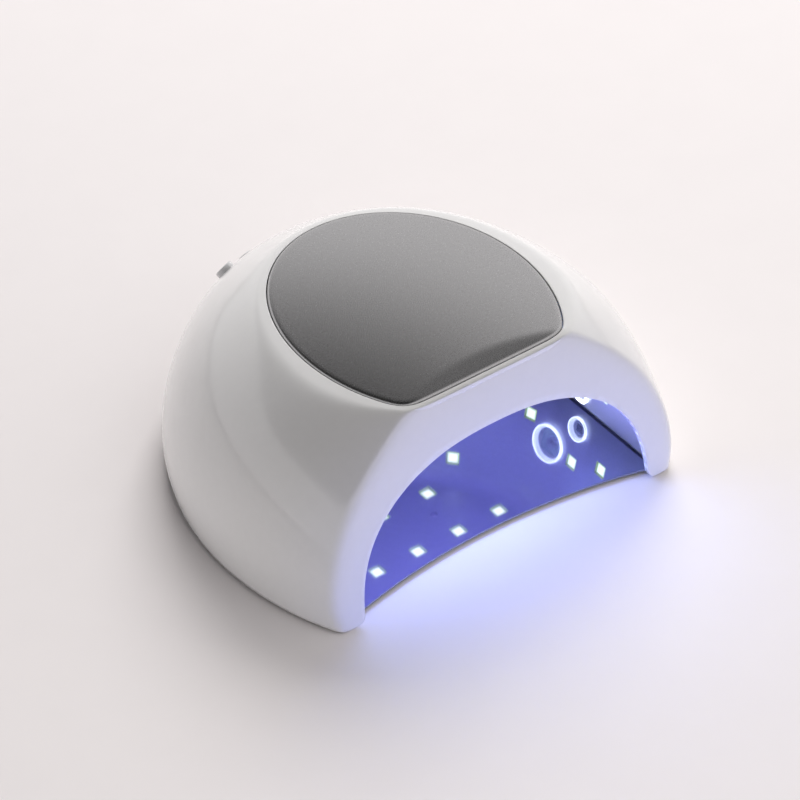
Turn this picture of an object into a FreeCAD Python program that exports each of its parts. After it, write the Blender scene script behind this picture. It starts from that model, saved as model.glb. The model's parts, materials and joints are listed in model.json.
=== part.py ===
import FreeCAD, Part
import math
import os
import re

import Sketcher
from FreeCAD import Placement, Rotation, Vector

# A dome-shaped lamp that cures resin under ultraviolet light.  The shell stands over a mirrored
# tray, and a hand or a small model goes in through the arch at the front.
# +X is the lamp's right as seen from the front, -Y the front, +Z up, and z = 0 is the table.

DOC = FreeCAD.newDocument("curing_lamp")
SHEET = DOC.addObject("Spreadsheet::Sheet", "dims")

DIMENSIONS = (
    # alias, value in millimetres or degrees, what it is
    ("dome_half_width", 110.0, "dome, centre to side at its widest"),
    ("dome_back", 128.5, "dome, centre to back at its widest"),
    ("dome_height", 96.5, "height at which the dome's flank ends"),
    ("front_reach", 65.0, "dome centre to the front face at the table"),
    ("front_lean", 9.5, "lean of the front face, degrees from upright"),
    ("shell_bottom", 1.6, "gap under the shell, left by the feet"),
    ("shell_wall", 2.6, "thickness of the shell's flank"),
    ("front_wall", 3.2, "thickness of the front face"),
    ("roof_wall", 5.2, "thickness of the shell under the top panel"),
    ("edge_round", 3.0, "rounding of the front face's edge"),
    ("shoulder_round", 3.0, "rounding between the dome's flank and its top"),
    ("crown_rise", 1.9, "highest point of the top panel, above the flank's end"),
    ("crown_radius", 577.0, "radius of the top panel's crown"),
    ("crown_centre", 5.0, "crown's top, behind the dome centre"),
    ("brow_slope", 16.0, "slope of the facet at the panel's front, degrees"),
    ("brow_drop", 4.0, "facet's front edge, below the crown's top"),
    ("brow_reach", 46.8, "dome centre to the panel's straight front edge"),
    ("panel_half_width", 60.0, "top panel, centre to side"),
    ("panel_half_length", 74.0, "top panel's oval, centre to back"),
    ("panel_corner", 9.0, "rounding of the panel's two front corners"),
    ("panel_thickness", 2.6, "top panel"),
    ("panel_proud", 0.7, "panel's top above the shell's"),
    ("panel_gap", 0.35, "clearance round the panel"),
    ("gasket_thickness", 0.5, "foam tape under the panel"),
    ("gasket_width", 6.0, "foam tape under the panel"),
    ("arch_half_width", 79.7, "front opening, centre to side"),
    ("arch_height", 68.5, "front opening, table to crown"),
    ("arch_power", 2.36, "squareness of the arch"),
    ("liner_half_width", 87.0, "reflector at table level, centre to side, and its rear radius"),
    ("liner_draft", 13.8, "lean of the reflector's walls, degrees"),
    ("liner_ceiling", 68.5, "reflector's ceiling above the table"),
    ("liner_round", 10.0, "rounding between ceiling and wall"),
    ("liner_wall", 1.6, "reflector's thickness"),
    ("liner_flange", 5.0, "foot of the reflector on the base ring"),
    ("fit_gap", 0.3, "clearance between parts of one housing"),
    ("ring_top", 4.1, "top of the base ring"),
    ("ring_bottom", 1.6, "underside of the base ring"),
    ("tray_gap", 0.8, "tray edge to base ring"),
    ("tray_lap", 0.6, "tray's edge under the reflector's wall"),
    ("tray_top", 2.6, "top of the mirror tray"),
    ("tray_thickness", 1.0, "mirror tray"),
    ("tray_corner_reach", 60.8, "dome centre to the tray's front corners"),
    ("tray_bow", 11.9, "how far the tray's front edge bows back"),
    ("pad_radius", 5.0, "tray's pads"),
    ("foot_radius", 5.0, "lamp's feet"),
    ("led_size", 5.0, "light chip, square"),
    ("led_rise", 1.5, "light chip, height over its board"),
    ("led_window", 6.4, "window in the reflector, square"),
    ("board_thickness", 1.6, "circuit boards"),
    ("board_gap", 0.5, "reflector's back to a light board"),
    ("row_pitch", 23.5, "spacing of the lights across the ceiling"),
    ("big_lens_radius", 9.3, "hand sensor's large lens"),
    ("small_lens_radius", 6.0, "hand sensor's small lens"),
    ("lens_rim", 1.2, "lens's bezel outside its hole"),
    ("button_radius", 4.5, "timer buttons"),
    ("button_gap", 0.3, "clearance round a button"),
    ("button_proud", 2.0, "button above the shell"),
    ("button_travel", 0.6, "button press"),
    ("button_height", 64.0, "outer two buttons above the table"),
    ("button_dip", 9.0, "how much lower the inner two buttons sit"),
    ("button_pitch", 19.4, "button row's spacing, measured across"),
    ("display_height", 36.0, "timer display above the table"),
    ("display_width", 34.0, "timer display window"),
    ("display_tall", 15.0, "timer display window"),
    ("jack_height", 14.0, "power inlet above the table"),
    ("jack_bore", 3.1, "power inlet, radius of its mouth"),
    ("jack_lead", 2.5, "power inlet, clear depth before the pin"),
    ("jack_depth", 11.0, "power inlet, whole depth"),
    ("jack_pin", 1.05, "power inlet, radius of the pin"),
    ("sink_width", 80.0, "heat sink, side to side"),
    ("sink_length", 40.0, "heat sink, front to back"),
    ("fin_tall", 6.0, "heat sink's fins"),
    ("screw_radius", 1.45, "housing screws"),
    ("screw_head", 2.7, "housing screws' heads"),
    ("magnet_radius", 4.0, "magnets that hold the tray"),
    ("magnet_thickness", 1.9, "magnets that hold the tray"),
    ("keeper_thickness", 0.8, "steel keepers under the magnets"),
)

# The dome's outline, table to top: share of dome_height, share of the full half width and back,
# and how far the front half of the oval is drawn in.
DOME_PROFILE = (
    (0.00, 0.978, 0.99),
    (0.12, 1.000, 0.97),
    (0.28, 0.991, 0.93),
    (0.45, 0.957, 0.86),
    (0.62, 0.899, 0.79),
    (0.78, 0.809, 0.74),
    (0.90, 0.706, 0.75),
    (1.00, 0.600, 0.79),
    (1.06, 0.525, 0.82),
)

for row, (alias, value, note) in enumerate(DIMENSIONS, start=1):
    SHEET.set(f"A{row}", alias)
    SHEET.set(f"B{row}", repr(value))
    SHEET.set(f"C{row}", note)
    SHEET.setAlias(f"B{row}", alias)
DOC.recompute()

SHEET_NAME = {alias: "dims." + alias for alias, _, _ in DIMENSIONS}
NODES = {}


def dim(alias):
    """A driving size from the sheet."""
    return float(getattr(SHEET, alias))


# The origin is under the middle of the lamp, so the dome's own centre lies behind or ahead of it.
CENTRE_Y = (dim("front_reach") - dim("dome_back")) / 2.0


def bind(obj, **expressions):
    """Ties properties of an object to the sheet; an alias is written plainly in the expression."""
    for prop, text in expressions.items():
        text = re.sub(r"[a-z_]+", lambda word: SHEET_NAME.get(word.group(), word.group()), str(text))
        obj.setExpression(prop.replace("__", "."), text)
    return obj


def at(x, y, z, rotation=None):
    """A placement measured from the dome's centre on the table."""
    return Placement(Vector(x, y + CENTRE_Y, z), rotation or Rotation())


def node(label, obj):
    """Registers the object as the sub-part of that name."""
    obj.Label = label
    NODES[label] = obj
    return obj


def primitive(kind, name, placement=None, **sizes):
    """A Part primitive with its sizes bound to the sheet."""
    obj = DOC.addObject("Part::" + kind, name)
    bind(obj, **sizes)
    if placement:
        obj.Placement = placement
    return obj


def shape_object(name, shape, placement=None):
    """A shape made with Part's own functions, kept as an object of the document."""
    obj = DOC.addObject("Part::Feature", name)
    obj.Shape = shape
    if placement:
        obj.Placement = placement
    return obj


def group(name, members):
    """Several identical solids kept as one object."""
    obj = DOC.addObject("Part::Compound", name)
    obj.Links = members
    return obj


def cut(name, base, tools):
    """base with every tool taken away."""
    if len(tools) > 1:
        tool = group(name + "_tools", tools)
    else:
        tool = tools[0]
    obj = DOC.addObject("Part::Cut", name)
    obj.Base = base
    obj.Tool = tool
    return obj


def common(name, first, second):
    obj = DOC.addObject("Part::Common", name)
    obj.Base = first
    obj.Tool = second
    return obj


def fuse(name, members):
    obj = DOC.addObject("Part::MultiFuse", name)
    obj.Shapes = members
    return obj


def origin_plane(body, role):
    return next(f for f in body.Origin.OriginFeatures if f.Role == role)


def sketch_on(body, name, role="XY_Plane", height=None):
    """A sketch on one of the body's own origin planes, raised by a bound height."""
    sketch = body.newObject("Sketcher::SketchObject", name)
    sketch.AttachmentSupport = [(origin_plane(body, role), "")]
    sketch.MapMode = "FlatFace"
    if height is not None:
        bind(sketch, AttachmentOffset__Base__z=height)
    return sketch


def circle_in(sketch, radius):
    """A circle round the sketch's origin, its radius bound to the sheet."""
    index = sketch.addGeometry(Part.Circle(Vector(1, 1, 0), Vector(0, 0, 1), 2.0), False)
    sketch.addConstraint(Sketcher.Constraint("Radius", index, 1.0))
    bind(sketch, **{f"Constraints[{sketch.ConstraintCount - 1}]": radius})
    sketch.addConstraint(Sketcher.Constraint("Coincident", index, 3, -1, 1))


def pad(body, sketch, length, name, taper=None, reverse=False):
    feature = body.newObject("PartDesign::Pad", name)
    feature.Profile = sketch
    bind(feature, Length=length)
    if taper:
        bind(feature, TaperAngle=taper)
    feature.Reversed = reverse
    return feature


def turned_body(name, discs, placement):
    """A body of stacked round discs: each has a radius, a start height and a thickness."""
    body = DOC.addObject("PartDesign::Body", name)
    for number, (radius, start, thickness) in enumerate(discs):
        sketch = sketch_on(body, f"{name}_disc{number}", height=start)
        circle_in(sketch, radius)
        pad(body, sketch, thickness, f"{name}_pad{number}")
    body.Placement = placement
    return body


# ---- The dome's skin, and the flat and round faces that trim it --------------------------------

CROWN_HEIGHT = dim("dome_height") + dim("crown_rise")
LEAN = math.radians(dim("front_lean"))
BROW = math.radians(dim("brow_slope"))


def front_y(height, inset=0.0):
    """Where the leaning front face is at a height, from the dome's centre."""
    return -dim("front_reach") + height * math.tan(LEAN) + inset / math.cos(LEAN)


def half_oval(half_width, depth, height, side):
    """Half of an oval from one flank to the other: side 1 is the back, -1 the front."""
    centre = Vector(0, 0, height)
    if depth >= half_width:
        oval = Part.Ellipse(Vector(0, depth, height), Vector(-half_width, 0, height), centre)
        start = -math.pi / 2 if side > 0 else math.pi / 2
    else:
        oval = Part.Ellipse(Vector(half_width, 0, height), Vector(0, depth, height), centre)
        start = 0.0 if side > 0 else math.pi
    return Part.ArcOfEllipse(oval, start, start + math.pi).toShape()


def dome_solid(inset):
    """The whole dome, before its front is cut away, drawn in by inset all round."""
    lower = (dim("dome_height") - inset) / dim("dome_height")
    wires = []
    for share, side, front in DOME_PROFILE:
        half_width = dim("dome_half_width") * side - inset
        back = dim("dome_back") * side - inset
        ahead = dim("dome_back") * side * front - inset
        height = dim("dome_height") * share * lower
        wires.append(Part.Wire([half_oval(half_width, back, height, 1),
                                half_oval(half_width, ahead, height, -1)]))
    return Part.makeLoft(wires, True, False)


def under_crown(name, drop):
    """The ball whose top is the crown, lowered by drop."""
    ball = primitive("Sphere", name, Radius=f"crown_radius - {drop}")
    ball.Placement = at(0, dim("crown_centre"), CROWN_HEIGHT - dim("crown_radius"))
    return ball


def front_tool(name, inset):
    """A block that takes away everything ahead of the front face, moved back by inset."""
    block = primitive("Box", name, Length="4 * dome_half_width", Width="2 * dome_back",
                      Height="4 * dome_height")
    turn = Rotation(Vector(1, 0, 0), -math.degrees(LEAN))
    low = Vector(-2 * dim("dome_half_width"), -2 * dim("dome_back"), -2 * dim("dome_height"))
    block.Placement = Placement(Vector(0, front_y(0, inset) + CENTRE_Y, 0) + turn.multVec(low), turn)
    return block


def brow_tool(name, drop):
    """A block that takes away everything above the facet at the panel's front."""
    block = primitive("Box", name, Length="4 * dome_half_width", Width="4 * dome_back",
                      Height="dome_height")
    turn = Rotation(Vector(1, 0, 0), dim("brow_slope"))
    edge = Vector(0, -dim("brow_reach") + CENTRE_Y, CROWN_HEIGHT - dim("brow_drop") - drop)
    low = Vector(-2 * dim("dome_half_width"), -2 * dim("dome_back"), 0)
    block.Placement = Placement(edge + turn.multVec(low), turn)
    return block


def slab(name, low, high):
    """A wide flat block between two heights, each given as an expression."""
    block = primitive("Box", name, Length="4 * dome_half_width", Width="4 * dome_back",
                      Height=f"({high}) - ({low})")
    block.Placement = at(-2 * dim("dome_half_width"), -2 * dim("dome_back"), 0)
    bind(block, Placement__Base__z=low)
    return block


def arch_prism(name):
    """The front opening's outline, drawn back through the whole front wall."""
    width = dim("arch_half_width")
    height = dim("arch_height")
    power = dim("arch_power")
    steps = 24
    points = []
    for step in range(steps + 1):
        turn = math.pi * step / steps
        across, up = math.cos(turn), math.sin(turn)
        points.append(Vector(math.copysign(width * abs(across) ** (2 / power), across),
                             0, height * max(up, 0.0) ** (2 / power)))
    curve = Part.BSplineCurve()
    curve.interpolate(points, InitialTangent=Vector(0, 0, 1), FinalTangent=Vector(0, 0, -1))
    below = Vector(0, 0, -height)
    sides = [Part.makeLine(points[-1], points[-1] + below),
             Part.makeLine(points[-1] + below, points[0] + below),
             Part.makeLine(points[0] + below, points[0])]
    outline = Part.Face(Part.Wire([curve.toShape()] + sides))
    clear = 2 * dim("front_wall")
    start = front_y(0) - clear
    end = front_y(height, dim("front_wall")) + clear
    return shape_object(name, outline.extrude(Vector(0, end - start, 0)), at(0, start, 0))


# ---- The top panel's outline -------------------------------------------------------------------

def panel_outline(inset):
    """The panel seen from above: an oval cut by a straight front edge, with round corners."""
    half_width = dim("panel_half_width") - inset
    back = dim("panel_half_length") - inset
    centre = dim("crown_centre")
    chord = -dim("brow_reach") + inset
    oval = Part.Ellipse(Vector(0, centre + back, 0), Vector(-half_width, centre, 0),
                        Vector(0, centre, 0))
    meet = half_width * math.sqrt(1 - ((chord - centre) / back) ** 2)
    left, right = Vector(-meet, chord, 0), Vector(meet, chord, 0)
    arc = Part.ArcOfEllipse(oval, oval.parameter(right) - 2 * math.pi, oval.parameter(left))
    return Part.Wire([arc.toShape(), Part.makeLine(left, right)])


def panel_prism(name, inset):
    """The panel's outline as a tall solid with its two front corners rounded."""
    solid = Part.Face(panel_outline(inset)).extrude(Vector(0, 0, 2 * dim("dome_height")))
    corners = [e for e in solid.Edges
               if abs(e.BoundBox.ZLength - 2 * dim("dome_height")) < 1e-6
               and abs(e.BoundBox.XMin) > 1 and e.BoundBox.XLength < 1e-6]
    solid = solid.makeFillet(dim("panel_corner") - inset, corners)
    return shape_object(name, solid, at(0, 0, 0))


# ---- Outer shell -------------------------------------------------------------------------------

def middle(edge):
    return edge.valueAt((edge.FirstParameter + edge.LastParameter) / 2)


def on_front_face(edge):
    points = [vertex.Point for vertex in edge.Vertexes] + [middle(edge)]
    return all(abs(p.y - CENTRE_Y - front_y(p.z)) < 0.05 for p in points)


def is_front_edge(edge):
    return on_front_face(edge) and edge.BoundBox.ZMax > dim("shell_bottom") + 3


def is_shoulder(edge):
    """An edge between the dome's flank and its top, but not one across the top itself."""
    if on_front_face(edge) or len(edge.Vertexes) < 2 or edge.BoundBox.ZLength > 3:
        return False
    points = [vertex.Point for vertex in edge.Vertexes] + [middle(edge)]
    spread = all(abs(p.x) > 10 or p.y - CENTRE_Y > dim("panel_half_length") / 2 for p in points)
    return spread and min(p.z for p in points) > 0.9 * dim("dome_height")


def round_edges(name, base, radius, choose):
    """Part::Fillet on every edge of base that choose picks."""
    DOC.recompute()
    obj = DOC.addObject("Part::Fillet", name)
    obj.Base = base
    obj.Edges = [(number, radius, radius)
                 for number, edge in enumerate(base.Shape.Edges, start=1) if choose(edge)]
    return obj


def trimmed_dome(name, inset, front, crown_drop, bottom="0 - 5"):
    """The dome cut off at the front, under the crown and brow, and above a height."""
    skin = shape_object(name + "_skin", dome_solid(inset), at(0, 0, 0))
    capped = common(name + "_capped", skin, under_crown(name + "_crown", crown_drop))
    below = cut(name + "_below", capped, [brow_tool(name + "_brow", crown_drop)])
    faced = cut(name + "_faced", below, [front_tool(name + "_front", front)])
    return cut(name + "_based", faced, [slab(name + "_floor", "0 - 20", bottom)])


outside = trimmed_dome("outside", 0.0, 0.0, dim("panel_proud"), "shell_bottom")
shouldered = round_edges("shouldered", outside, dim("shoulder_round"), is_shoulder)
rounded = round_edges("rounded", shouldered, dim("edge_round"), is_front_edge)
cavity = trimmed_dome("cavity", dim("shell_wall"), dim("front_wall"),
                      dim("panel_proud") + dim("roof_wall"))

RECESS_DROP = dim("panel_thickness") + dim("gasket_thickness")


def panel_layer(name, inset, drop):
    """Everything inside the panel's outline and under the crown lowered by drop."""
    inside = common(name + "_in", panel_prism(name + "_prism", inset),
                    under_crown(name + "_ball", drop))
    return cut(name, inside, [brow_tool(name + "_brow", drop)])


recess = cut("recess", panel_prism("recess_prism", -dim("panel_gap")),
             [panel_layer("recess_floor", -dim("panel_gap") - 1, RECESS_DROP)])


def plan_radius(angle, share, inset):
    """Dome centre to the dome's flank, in a direction measured from +X, at a share of its size."""
    across = dim("dome_half_width") * share - inset
    along = dim("dome_back") * share - inset
    turn = math.radians(angle)
    return 1.0 / math.hypot(math.cos(turn) / across, math.sin(turn) / along)


SCREW_ANGLES = (-6, 38, 68, 112, 142, 186)
BOSS_RADIUS = 5.2
BOSS_TOP = 18.0
BOSS_BITE = 0.6
SCREW_SPOTS = []
for angle in SCREW_ANGLES:
    reach = plan_radius(angle, 0.99, dim("shell_wall")) - BOSS_RADIUS + BOSS_BITE
    turn = math.radians(angle)
    SCREW_SPOTS.append((reach * math.cos(turn), reach * math.sin(turn)))

bosses = []
pilots = []
for number, (x, y) in enumerate(SCREW_SPOTS):
    bosses.append(primitive("Cylinder", f"boss{number}", at(x, y, dim("ring_top")),
                            Radius=BOSS_RADIUS, Height=f"{BOSS_TOP} - ring_top"))
    pilots.append(primitive("Cylinder", f"pilot{number}", at(x, y, 0),
                            Radius="screw_radius", Height=BOSS_TOP - 2))


# ---- Timer buttons: each slides along the shell's own normal at its place -----------------------

def skin_spot(across, height):
    """Point and outward normal of the dome's back at a distance across and a height."""
    skin = DOC.getObject("outside_skin").Shape
    ray = Part.makeLine(Vector(across, CENTRE_Y, height), Vector(across, 3 * dim("dome_back"), height))
    hit = ray.common(skin).Vertexes
    point = max((vertex.Point for vertex in hit), key=lambda p: p.y)
    face = min(skin.Faces, key=lambda f: f.distToShape(Part.Vertex(point))[0])
    u, v = face.Surface.parameter(point)
    normal = face.normalAt(u, v)
    if normal.y < 0:
        normal = normal.negative()
    return point, normal


def facing(point, normal):
    """A placement with local +Z along normal and local X level."""
    level = Vector(0, 0, 1).cross(normal)
    if level.Length < 1e-6:
        level = Vector(1, 0, 0)
    level.normalize()
    return Placement(point, Rotation(level, normal.cross(level), normal, "ZXY"))


BUTTON_FLANGE = 1.2
BUTTON_STEM = 3.4
SWITCH_TALL = 3.5
SWITCH_GAP = 0.2
FLANGE_REACH = 1.2
SEAT_REACH = 2.2
SEAT_DEEP = 5.0
HOLE_DEEP = 8.0
button_holes = []
button_seats = []
switches = []
key_boards = []
BUTTON_PLACES = []
for number in range(4):
    across = (number - 1.5) * dim("button_pitch")
    dip = dim("button_dip") if abs(across) < dim("button_pitch") else 0.0
    point, normal = skin_spot(across, dim("button_height") - dip)
    place = facing(point, normal)
    BUTTON_PLACES.append((point, normal))
    inner = -dim("shell_wall") - dim("fit_gap") - BUTTON_FLANGE
    cap = turned_body(f"button_{number + 1}", (
        ("button_radius", inner, f"button_proud - ({inner})"),
        (f"button_radius + {FLANGE_REACH}", inner, BUTTON_FLANGE),
        (1.5, inner - BUTTON_STEM, BUTTON_STEM),
    ), place)
    node(f"button_{number + 1}", cap)
    button_holes.append(primitive(
        "Cylinder", f"button_hole{number}",
        place.multiply(Placement(Vector(0, 0, -HOLE_DEEP), Rotation())),
        Radius="button_radius + button_gap", Height=2 * HOLE_DEEP))
    button_seats.append(primitive(
        "Cylinder", f"button_seat{number}",
        place.multiply(Placement(Vector(0, 0, -dim("shell_wall") - SEAT_DEEP), Rotation())),
        Radius=f"button_radius + {SEAT_REACH}", Height=SEAT_DEEP))
    low = inner - BUTTON_STEM - SWITCH_GAP - dim("button_travel")
    switches.append(primitive(
        "Box", f"switch{number}",
        place.multiply(Placement(Vector(-3, -3, low - SWITCH_TALL), Rotation())),
        Length=6, Width=6, Height=SWITCH_TALL))
    key_boards.append(primitive(
        "Box", f"key_board{number}",
        place.multiply(Placement(Vector(-6, -5, low - SWITCH_TALL - dim("board_thickness")), Rotation())),
        Length=12, Width=10, Height="board_thickness"))

node("key_switches", group("switch_group", switches))
node("key_boards", group("key_board_group", key_boards))


# ---- Timer display and power inlet, both in the back of the shell ------------------------------

def upright_prism(name, width, tall, corner, height):
    """A rounded rectangle standing at a height, drawn far out through the back."""
    body = DOC.addObject("PartDesign::Body", name)
    sketch = sketch_on(body, name + "_sketch", "XZ_Plane")
    corners = [Vector(-4, -3, 0), Vector(4, -3, 0), Vector(4, 3, 0), Vector(-4, 3, 0)]
    for start, end in zip(corners, corners[1:] + corners[:1]):
        sketch.addGeometry(Part.LineSegment(start, end), False)
    for line in range(4):
        sketch.addConstraint(Sketcher.Constraint("Coincident", line, 2, (line + 1) % 4, 1))
        kind = "Horizontal" if line % 2 == 0 else "Vertical"
        sketch.addConstraint(Sketcher.Constraint(kind, line))
    sketch.addConstraint(Sketcher.Constraint("Symmetric", 0, 1, 1, 2, -1, 1))
    sketch.addConstraint(Sketcher.Constraint("DistanceX", 0, 1, 0, 2, 8.0))
    bind(sketch, **{f"Constraints[{sketch.ConstraintCount - 1}]": width})
    sketch.addConstraint(Sketcher.Constraint("DistanceY", 1, 1, 1, 2, 6.0))
    bind(sketch, **{f"Constraints[{sketch.ConstraintCount - 1}]": tall})
    block = pad(body, sketch, "dome_back", name + "_pad")
    DOC.recompute()
    if body.Shape.BoundBox.YMax < 1:
        block.Reversed = True
        DOC.recompute()
    edges = [f"Edge{n}" for n, e in enumerate(block.Shape.Edges, start=1)
             if e.BoundBox.YLength > dim("dome_back") / 2]
    fillet = body.newObject("PartDesign::Fillet", name + "_round")
    fillet.Base = (block, edges)
    fillet.Radius = corner
    body.Placement = at(0, 30, dim(height))
    return body


WINDOW_GAP = 0.15
WINDOW_CORNER = 3.0
display_hole = upright_prism("display_hole", "display_width", "display_tall",
                             WINDOW_CORNER, "display_height")
display_plug = upright_prism("display_plug", f"display_width - {2 * WINDOW_GAP}",
                             f"display_tall - {2 * WINDOW_GAP}", WINDOW_CORNER - WINDOW_GAP, "display_height")

# The inlet's mouth lies a little inside the shell's skin.
jack_point, jack_normal = skin_spot(0.0, dim("jack_height"))
jack_y = jack_point.y - CENTRE_Y - 1.0
jack_hole = primitive("Cylinder", "jack_hole",
                      at(0, jack_y - 8, dim("jack_height"), Rotation(Vector(1, 0, 0), -90)),
                      Radius="jack_bore + 1.6", Height=20)

wall = cut("wall", rounded, [cavity])
boss_group = common("boss_trim", fuse("boss_fuse", bosses), DOC.getObject("outside_skin"))
blank = fuse("shell_blank", [wall, boss_group])
shell = cut("shell", blank, [arch_prism("arch"), recess, display_hole, jack_hole]
            + button_holes + button_seats + pilots)
node("outer_shell", shell)
window_wall = common("window_wall", display_plug, DOC.getObject("wall"))
node("display_window", window_wall)


# ---- Top panel and its foam tape ---------------------------------------------------------------

panel = cut("panel", panel_layer("panel_top", 0.0, 0.0),
            [panel_layer("panel_under", -1.0, dim("panel_thickness"))])
node("top_panel", panel)

tape_outer = cut("tape_outer", panel_layer("tape_top", 1.0, dim("panel_thickness")),
                 [panel_layer("tape_under", 0.5, RECESS_DROP)])
tape = cut("tape", tape_outer, [panel_prism("tape_hole", 1.0 + dim("gasket_width"))])
node("panel_gasket", tape)


# ---- Reflector: the lit chamber's ceiling and walls ---------------------------------------------

DRAFT = math.radians(dim("liner_draft"))


def wall_reach(height):
    """Dome centre to the reflector's inner face at a height: its half width, and its rear radius."""
    return dim("liner_half_width") - height * math.tan(DRAFT)


def bay_sketch(body, name, radius, ahead, height):
    """Straight sides and a half-round back, round the dome's centre."""
    sketch = sketch_on(body, name, height=height)
    right, left = Vector(10, 0, 0), Vector(-10, 0, 0)
    right_front, left_front = Vector(10, -20, 0), Vector(-10, -20, 0)
    arc = sketch.addGeometry(Part.ArcOfCircle(Part.Circle(Vector(), Vector(0, 0, 1), 10), 0, math.pi))
    side_left = sketch.addGeometry(Part.LineSegment(left, left_front))
    front = sketch.addGeometry(Part.LineSegment(left_front, right_front))
    side_right = sketch.addGeometry(Part.LineSegment(right_front, right))
    for first, end, second, start in ((arc, 2, side_left, 1), (side_left, 2, front, 1),
                                      (front, 2, side_right, 1), (side_right, 2, arc, 1)):
        sketch.addConstraint(Sketcher.Constraint("Coincident", first, end, second, start))
    sketch.addConstraint(Sketcher.Constraint("Coincident", arc, 3, -1, 1))
    sketch.addConstraint(Sketcher.Constraint("Vertical", side_left))
    sketch.addConstraint(Sketcher.Constraint("Vertical", side_right))
    sketch.addConstraint(Sketcher.Constraint("Horizontal", front))
    sketch.addConstraint(Sketcher.Constraint("PointOnObject", arc, 1, -1))
    sketch.addConstraint(Sketcher.Constraint("PointOnObject", arc, 2, -1))
    for kind, args, size, text in (("Radius", (arc,), 10.0, radius),
                                   ("DistanceY", (side_left, 2, side_left, 1), 20.0, ahead)):
        sketch.addConstraint(Sketcher.Constraint(kind, *args, size))
        bind(sketch, **{f"Constraints[{sketch.ConstraintCount - 1}]": text})
    return sketch


def bay_block(name, radius, height, length, drafted=True, corner=None):
    """A solid of the bay's outline, drafted inwards as it rises, its top edge rounded."""
    body = DOC.addObject("PartDesign::Body", name)
    sketch = bay_sketch(body, name + "_sketch", radius, "2 * front_reach", height)
    block = pad(body, sketch, length, name + "_pad", taper="0 - liner_draft" if drafted else None)
    if corner:
        DOC.recompute()
        top = max(range(len(block.Shape.Faces)), key=lambda n: block.Shape.Faces[n].CenterOfMass.z)
        rounding = body.newObject("PartDesign::Fillet", name + "_round")
        rounding.Base = (block, [f"Face{top + 1}"])
        bind(rounding, Radius=corner)
    body.Placement = at(0, 0, 0)
    return body


inner_radius = "liner_half_width - ring_top * tan(liner_draft)"
outer_radius = inner_radius + " + liner_wall / cos(liner_draft)"
inner_bay = bay_block("inner_bay", inner_radius, "ring_top", "liner_ceiling - ring_top",
                      corner="liner_round")
outer_bay = bay_block("outer_bay", outer_radius, "ring_top",
                      "liner_ceiling + liner_wall - ring_top", corner="liner_round + liner_wall")
flange = bay_block("liner_foot", outer_radius + " + liner_flange", "ring_top", "liner_wall",
                   drafted=False)


# Where the lights and lenses are: a side of -1 or 1, or 0 for both, then a place on the ceiling
# (across, back) or on the wall (back or turn, height).
# A ceiling row is its place behind the dome's centre, then its lights' places in row pitches.
CEILING_ROWS = ((-22.0, (0.5, 1.5, 2.5)), (17.5, (0.5, 1.5, 2.5)), (47.0, (0.55, 1.70)))
WALL_LIGHTS = ((-28.3, 24.4), (-9.4, 31.6))
TURNED_LIGHTS = ((14.5, 22.4), (41.0, 56.0), (68.0, 36.0))
CEILING_SCREWS = ((33.0, 33.0),)
BIG_LENS = (6.4, 30.6)
SMALL_LENS = (-9.4, 13.8)


def on_ceiling(x, y):
    """Local +Z points out of the chamber, through the ceiling."""
    return at(x, y, dim("liner_ceiling"))


def on_wall(side, back, height):
    """On the straight part of a side wall, back being the distance behind the dome's centre."""
    point = Vector(side * wall_reach(height), back + CENTRE_Y, height)
    return facing(point, Vector(side * math.cos(DRAFT), 0, math.sin(DRAFT)))


def on_turn(side, angle, height):
    """On the half-round back wall, turned from the side wall by an angle."""
    turn = math.radians(angle)
    across, along = side * math.cos(turn), math.sin(turn)
    reach = wall_reach(height)
    point = Vector(reach * across, reach * along + CENTRE_Y, height)
    return facing(point, Vector(across * math.cos(DRAFT), along * math.cos(DRAFT), math.sin(DRAFT)))


light_places = {"ceiling": [], "left": [], "right": [], "rear": []}
for back, shares in CEILING_ROWS:
    for share in shares:
        for side in (-1, 1):
            light_places["ceiling"].append(on_ceiling(side * share * dim("row_pitch"), back))
for side, name in ((-1, "left"), (1, "right")):
    for back, height in WALL_LIGHTS:
        light_places[name].append(on_wall(side, back, height))
    for angle, height in TURNED_LIGHTS[:1]:
        light_places[name].append(on_turn(side, angle, height))
    for angle, height in TURNED_LIGHTS[1:]:
        light_places["rear"].append(on_turn(side, angle, height))

BEHIND = dim("liner_wall") + dim("board_gap")


def square_at(name, place, size, low, tall):
    """A square block centred on a place's local +Z."""
    corner = Placement(Vector(-size / 2, -size / 2, low), Rotation())
    return primitive("Box", name, place.multiply(corner), Length=size, Width=size, Height=tall)


windows = []
for zone, places in light_places.items():
    chips = []
    stars = []
    for number, place in enumerate(places):
        windows.append(square_at(f"window_{zone}{number}", place, dim("led_window"), -3, 8))
        chips.append(square_at(f"chip_{zone}{number}", place, dim("led_size"),
                               BEHIND - dim("led_rise"), dim("led_rise")))
        if zone != "ceiling":
            stars.append(square_at(f"star_{zone}{number}", place, 9.0, BEHIND,
                                   dim("board_thickness")))
    node(f"led_chips_{zone}", group(f"chips_{zone}", chips))
    if stars:
        node(f"led_boards_{zone}", group(f"stars_{zone}", stars))

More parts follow.
